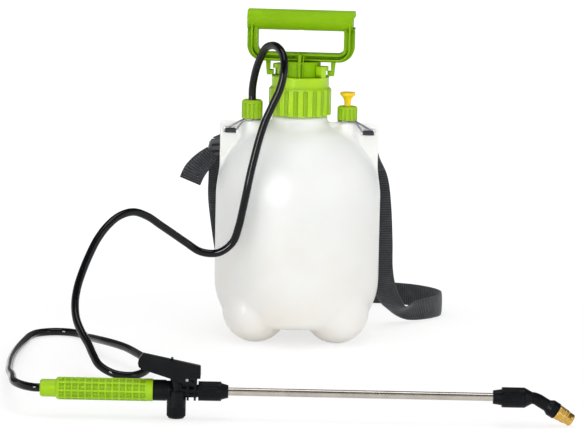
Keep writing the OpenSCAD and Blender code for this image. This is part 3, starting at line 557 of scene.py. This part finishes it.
# finishes
def tone(code):
    rgb = [int(code[k:k + 2], 16) / 255 for k in (0, 2, 4)]
    return tuple(c / 12.92 if c <= 0.04045 else ((c + 0.055) / 1.055) ** 2.4 for c in rgb) + (1,)


class Finish:
    def __init__(self, name):
        self.material = bpy.data.materials.new(name)
        self.material.use_nodes = True
        self.tree = self.material.node_tree
        self.shader = self.tree.nodes["Principled BSDF"]

    def add(self, kind, inputs=None, **settings):
        node = self.tree.nodes.new(kind)
        for key, value in settings.items():
            setattr(node, key, value)
        for key, value in (inputs or {}).items():
            if isinstance(value, bpy.types.NodeSocket):
                self.tree.links.new(value, node.inputs[key])
            else:
                node.inputs[key].default_value = value
        return node

    def set(self, **values):
        for key, value in values.items():
            socket = self.shader.inputs[key.replace("_", " ")]
            if isinstance(value, bpy.types.NodeSocket):
                self.tree.links.new(value, socket)
            else:
                socket.default_value = value

    def place(self):
        return self.add("ShaderNodeTexCoord").outputs["Object"]

    def noise(self, where, scale, detail=3.0, rough=0.5):
        inputs = {"Vector": where, "Scale": scale, "Detail": detail, "Roughness": rough}
        return self.add("ShaderNodeTexNoise", inputs).outputs["Fac"]

    def between(self, fac, low, high, fromLow=0.3, fromHigh=0.7):
        inputs = {"Value": fac, "From Min": fromLow, "From Max": fromHigh, "To Min": low, "To Max": high}
        return self.add("ShaderNodeMapRange", inputs).outputs["Result"]

    def calc(self, operation, first, second=0.0):
        return self.add("ShaderNodeMath", {0: first, 1: second}, operation=operation).outputs[0]

    def softEdge(self, radius):
        return self.add("ShaderNodeBevel", {"Radius": radius * mm}, samples=6).outputs["Normal"]

    def blendColours(self, fac, first, second):
        node = self.add("ShaderNodeMix", {"Factor": fac}, data_type="RGBA")
        for name, value in (("A", first), ("B", second)):
            socket = [i for i in node.inputs if i.name == name and i.type == "RGBA"][0]
            if isinstance(value, bpy.types.NodeSocket):
                self.tree.links.new(value, socket)
            else:
                socket.default_value = value
        return [o for o in node.outputs if o.type == "RGBA"][0]

    def bump(self, height, strength, distance, normal=None):
        inputs = {"Height": height, "Strength": strength, "Distance": distance}
        if normal is not None:
            inputs["Normal"] = normal
        return self.add("ShaderNodeBump", inputs).outputs["Normal"]


def mouldedFinish(name, s):
    f = Finish(name)
    where = f.place()
    cloud = f.noise(where, s.get("cloud", 40), 2)
    grain = f.noise(where, s.get("grain", 1800), 2)
    colour = f.blendColours(f.between(cloud, 0, 1), tone(s["dark"]), tone(s["light"]))
    if "paintedShadeReach" in s:  # painted shade: grooves and pockets are painted darker where ambient occlusion finds them hemmed in
        reach = {"Distance": s["paintedShadeReach"] * mm}
        unshadedShare = f.add("ShaderNodeAmbientOcclusion", reach, samples=8, only_local=True).outputs["AO"]
        unshadedShare = f.between(unshadedShare, 0, 1, *s.get("paintedShadeSpan", (0.45, 0.95)))
        colour = f.blendColours(unshadedShare, tone(s["paintedShadeTone"]), colour)
    soft = f.softEdge(s.get("edge", 0.6))
    f.set(Base_Color=colour, Roughness=f.between(grain, s["rough"] - 0.06, s["rough"] + 0.06),
          Normal=f.bump(grain, s.get("bump", 0.12), 0.0002, soft), IOR=1.49,
          Specular_IOR_Level=s.get("specular", 0.5))
    return f.material


def metalFinish(name, s):
    f = Finish(name)
    where = f.place()
    stretched = f.add("ShaderNodeMapping", {"Vector": where, "Scale": s["draw"]}).outputs["Vector"]
    lines = f.noise(stretched, s["lines"], 4)
    cloud = f.noise(where, 60, 3)
    colour = f.blendColours(f.between(cloud, 0, 1), tone(s["dark"]), tone(s["light"]))
    soft = f.softEdge(s.get("edge", 0.3))
    f.set(Base_Color=colour, Metallic=1.0, Roughness=f.between(lines, s["rough"] - 0.05, s["rough"] + 0.08),
          Normal=f.bump(lines, s.get("bump", 0.1), 0.0001, soft))
    return f.material


tankLook = {"upper": "F4F4F0", "lower": "F3ECE1", "cloudy": "F7F7F5", "rough": 0.36, "lowZ": 0.02,
            "highZ": 0.16, "wallScale": 22, "grainScale": 900, "rippleScale": 30, "throughLight": 0.35,
            "depth": 0.006, "depthTint": (1.0, 0.85, 0.7)}


def tankFinish(s):
    f = Finish("naturalPlastic")
    where = f.place()
    height = f.add("ShaderNodeSeparateXYZ", {"Vector": where}).outputs["Z"]
    rise = f.between(height, 0, 1, s["lowZ"], s["highZ"])
    wall = f.noise(where, s["wallScale"], 3)
    # painted shade: the tank is painted warmer and a little darker towards the bottom
    colour = f.blendColours(rise, tone(s["lower"]), tone(s["upper"]))
    colour = f.blendColours(f.between(wall, 0, 0.6), colour, tone(s["cloudy"]))
    grain = f.noise(where, s["grainScale"], 3)
    ripple = f.noise(where, s["rippleScale"], 1)
    lumps = f.bump(ripple, 0.10, 0.002)
    f.set(Base_Color=colour, Roughness=f.between(grain, s["rough"] - 0.05, s["rough"] + 0.07),
          Normal=f.bump(grain, 0.06, 0.0002, lumps), IOR=1.5, Subsurface_Weight=s["throughLight"],
          Subsurface_Scale=s["depth"], Subsurface_Radius=s["depthTint"])
    return f.material


weaveLook = {"dark": "0A0B0D", "light": "4A4D52", "worn": "1A1B1D", "pitchWide": 2.2, "pitchLong": 2.7,
             "rough": 0.72, "sheen": 0.25}


def webbingFinish(s):
    f = Finish("wovenWebbing")
    uv = f.add("ShaderNodeUVMap", uv_map="cut").outputs["UV"]
    split = f.add("ShaderNodeSeparateXYZ", {"Vector": uv})

    def wave(socket, pitch):
        return f.calc("SINE", f.calc("MULTIPLY", socket, 2 * math.pi / (pitch * mm)))

    dash = f.between(wave(split.outputs["X"], s["pitchWide"]), 0.1, 1, -1, 1)
    cross = f.calc("MULTIPLY", dash, wave(split.outputs["Y"], s["pitchLong"]))
    height = f.between(cross, 0, 1, -1, 1)
    worn = f.noise(f.place(), 120, 3)
    colour = f.blendColours(height, tone(s["dark"]), tone(s["light"]))
    colour = f.blendColours(f.between(worn, 0, 0.35), colour, tone(s["worn"]))
    f.set(Base_Color=colour, Roughness=f.between(worn, s["rough"] - 0.08, s["rough"] + 0.1),
          Normal=f.bump(height, 0.7, 0.0004), Sheen_Weight=s["sheen"], Sheen_Roughness=0.5,
          Specular_IOR_Level=0.25)
    return f.material


mouldedLooks = {
    "lime_plastic": {"name": "limePlastic", "dark": "84B402", "light": "8FC004", "rough": 0.36, "edge": 0.8,
                     "specular": 0.2},
    "black_plastic": {"name": "blackPlastic", "dark": "090A0C", "light": "101215", "rough": 0.34, "edge": 0.5,
                      "specular": 0.12},
    "yellow_plastic": {"name": "yellowPlastic", "dark": "FFCE10", "light": "FFDC22", "rough": 0.35,
                       "edge": 0.6, "specular": 0.3},
    "inner_plastic": {"name": "innerPlastic", "dark": "DCDDD8", "light": "E8E9E4", "rough": 0.4},
    "grey_plastic": {"name": "greyPlastic", "dark": "5A5D60", "light": "6E7174", "rough": 0.4},
    "rubber": {"name": "sealRubber", "dark": "161617", "light": "202122", "rough": 0.65, "bump": 0.2},
    "hose_plastic": {"name": "hosePlastic", "dark": "060709", "light": "0B0C10", "rough": 0.09, "edge": 0.1,
                     "bump": 0.02, "specular": 0.26},
}
metalLooks = {
    "wire": {"name": "platedWire", "dark": "808184", "light": "A2A3A6", "rough": 0.4, "draw": (1, 1, 1),
             "lines": 900},
    "tube_steel": {"name": "drawnTube", "dark": "B2ABA2", "light": "C3BCB3", "rough": 0.2,
                   "draw": (0.02, 1, 1), "lines": 1500},
    "brass": {"name": "turnedBrass", "dark": "C49A45", "light": "DDB868", "rough": 0.25, "draw": (1, 1, 1),
              "lines": 700, "bump": 0.02},
}
# lime pieces that differ a little in gloss; the cap's lighter tone is a painted highlight, and each piece's
# nooks get painted shade
limeLooks = {
    # the cap is painted lighter than the other lime pieces, as a painted highlight
    "cap": {"name": "limeCapPaintedHighlight", "dark": "A8D410", "light": "B2DE18", "rough": 0.3, "edge": 0.8,
            "specular": 0.35, "paintedShadeReach": 5.0, "paintedShadeTone": "5C8802", "paintedShadeSpan": (0.6, 1.0)},
    "handle": {"name": "limeHandle", "dark": "80B002", "light": "8ABC04", "rough": 0.45, "edge": 0.8,
               "specular": 0.1, "paintedShadeReach": 6.0, "paintedShadeTone": "608C02"},
    "grip": {"name": "limeGrip", "dark": "96C00A", "light": "A0CC10", "rough": 0.36, "edge": 0.4,
             "specular": 0.3, "paintedShadeReach": 3.5, "paintedShadeTone": "628C02", "paintedShadeSpan": (0.55, 1.0)},
}
finishes = {"tank_plastic": tankFinish(tankLook), "webbing": webbingFinish(weaveLook)}
finishes.update({slot: mouldedFinish(s["name"], s) for slot, s in mouldedLooks.items()})
finishes.update({slot: metalFinish(s["name"], s) for slot, s in metalLooks.items()})
limes = {kind: mouldedFinish(s["name"], s) for kind, s in limeLooks.items()}
ownFinish = {"grip_collar": limes["grip"], "handle": limes["handle"], "pump_cap": limes["cap"],
             "hose_nut": limes["grip"], "relief_nut": limes["grip"]}
slotOf = {part["node"]: part["material_slot"] for part in frame["record"]["subparts"]}
for name, node in nodes.items():
    node.data.materials.clear()
    node.data.materials.append(ownFinish.get(name, finishes[slotOf[name]]))
for piece in [hose, tankSkin, neckThread, nozzleTip] + straps + springs:
    piece.data.materials.append(finishes[piece["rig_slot"]])
grip.data.materials.append(limes["grip"])
print("finishes set")

# floor, world and lamps
stageMake = {"size": 30.0, "drop": 0.0004, "middle": (0, -0.1, 0), "keepWhite": (0.62, 1.0),
             "shadowReach": (0.35, 1.0), "worldLight": 0.62, "glow": 1.12, "paper": (0.92, 0.95)}
glossCards = {
    "ceiling": {"at": (0, -1.0, 2.9), "across": (4.5, 0, 0), "up": (0, 4.5, 0), "shade": 0.12},
    "strip": {"at": (-1.55, -2.6, 1.0), "across": (0.22, -0.12, 0), "up": (0, 0, 0.9), "shade": 26.0},
    "backdrop": {"at": (0, 3.0, 1.2), "across": (4.5, 0, 0), "up": (0, 0, 1.15), "shade": 0.12},
    "wall": {"at": (0, -5.4, 1.5), "across": (4.5, 0, 0), "up": (0, 0, 1.4), "shade": 0.8},
}
lampMake = {
    "front": {"at": (-0.12, -3.0, 0.42), "to": (0, 0, 0.17), "size": (0.45, 0.6), "power": 21,
              "gloss": False},
    "right": {"at": (1.9, -1.8, 1.1), "to": (0, -0.1, 0.15), "size": (0.8, 1.4), "power": 7, "gloss": True},
    "top": {"at": (0.0, -0.3, 2.4), "to": (0, -0.15, 0), "size": (1.4, 1.4), "power": 14, "gloss": True},
}


def seenRay(tree):
    rays = tree.nodes.new("ShaderNodeLightPath")
    total = rays.outputs["Is Camera Ray"]
    for name in ("Is Glossy Ray", "Is Transmission Ray"):
        plus = tree.nodes.new("ShaderNodeMath")
        plus.operation = "MAXIMUM"
        tree.links.new(total, plus.inputs[0])
        tree.links.new(rays.outputs[name], plus.inputs[1])
        total = plus.outputs[0]
    return total


def stagePlane(name, middle, across, up):
    middle, across, up = (np.array(v, float) for v in (middle, across, up))
    corners = [tuple(middle + a * across + b * up) for a, b in ((-1, -1), (1, -1), (1, 1), (-1, 1))]
    mesh = bpy.data.meshes.new(name)
    mesh.from_pydata(corners, [], [(0, 1, 2, 3)])
    plane = bpy.data.objects.new(name, mesh)
    scene.collection.objects.link(plane)
    return plane


def makeStage(s):
    world = bpy.data.worlds.new("studio")
    scene.world = world
    world.use_nodes = True
    tree = world.node_tree
    sky = tree.nodes["Background"]
    sky.inputs["Color"].default_value = (1, 1, 1, 1)
    strength = tree.nodes.new("ShaderNodeMapRange")
    strength.inputs["To Min"].default_value = s["worldLight"]
    strength.inputs["To Max"].default_value = 1.0
    tree.links.new(seenRay(tree), strength.inputs["Value"])
    tree.links.new(strength.outputs["Result"], sky.inputs["Strength"])

    half = s["size"] / 2
    mesh = stagePlane("floor", (0, 0, -s["drop"]), (half, 0, 0), (0, half, 0)).data
    paper = Finish("floorPaper")
    fibre = paper.noise(paper.place(), 300, 2)
    low, high = ((level, level, level, 1) for level in s["paper"])
    paper.set(Base_Color=paper.blendColours(fibre, low, high), Roughness=0.9, Specular_IOR_Level=0.1)
    glow = paper.add("ShaderNodeEmission", {"Color": (1, 1, 1, 1), "Strength": s["glow"]})
    ends = {0: paper.place(), 1: s["middle"]}
    away = paper.add("ShaderNodeVectorMath", ends, operation="DISTANCE").outputs["Value"]
    white = paper.between(away, *s["keepWhite"], *s["shadowReach"])  # the shadow stays near the object
    share = paper.calc("MULTIPLY", seenRay(paper.tree), white)
    mix = paper.add("ShaderNodeMixShader", {0: share, 1: paper.shader.outputs[0], 2: glow.outputs[0]})
    paper.tree.links.new(mix.outputs[0], paper.tree.nodes["Material Output"].inputs["Surface"])
    mesh.materials.append(paper.material)


# a studio's ceiling, walls and light strip, which only show in gloss
def makeGlossCard(name, s):
    card = stagePlane(name, s["at"], s["across"], s["up"])
    card.visible_camera = card.visible_diffuse = card.visible_transmission = card.visible_shadow = False
    paint = Finish(name + "Paint")
    patch = paint.between(paint.noise(paint.place(), 0.4, 1), 0.8 * s["shade"], 1.2 * s["shade"])
    glow = paint.add("ShaderNodeEmission", {"Color": (1, 1, 1, 1), "Strength": patch})
    paint.tree.links.new(glow.outputs[0], paint.tree.nodes["Material Output"].inputs["Surface"])
    card.data.materials.append(paint.material)


def makeLamps(lamps):
    for name, s in lamps.items():
        data = bpy.data.lights.new(name + "Lamp", "AREA")
        data.shape = "RECTANGLE"
        data.size, data.size_y = s["size"]
        data.energy = s["power"]
        lamp = bpy.data.objects.new(name + "Lamp", data)
        lamp.location = s["at"]
        lamp.visible_glossy = s["gloss"]
        lamp.rotation_euler = (Vector(s["to"]) - Vector(s["at"])).to_track_quat("-Z", "Y").to_euler()
        scene.collection.objects.link(lamp)


makeStage(stageMake)
for name, card in glossCards.items():
    makeGlossCard(name, card)
makeLamps(lampMake)
print("stage and lamps set")
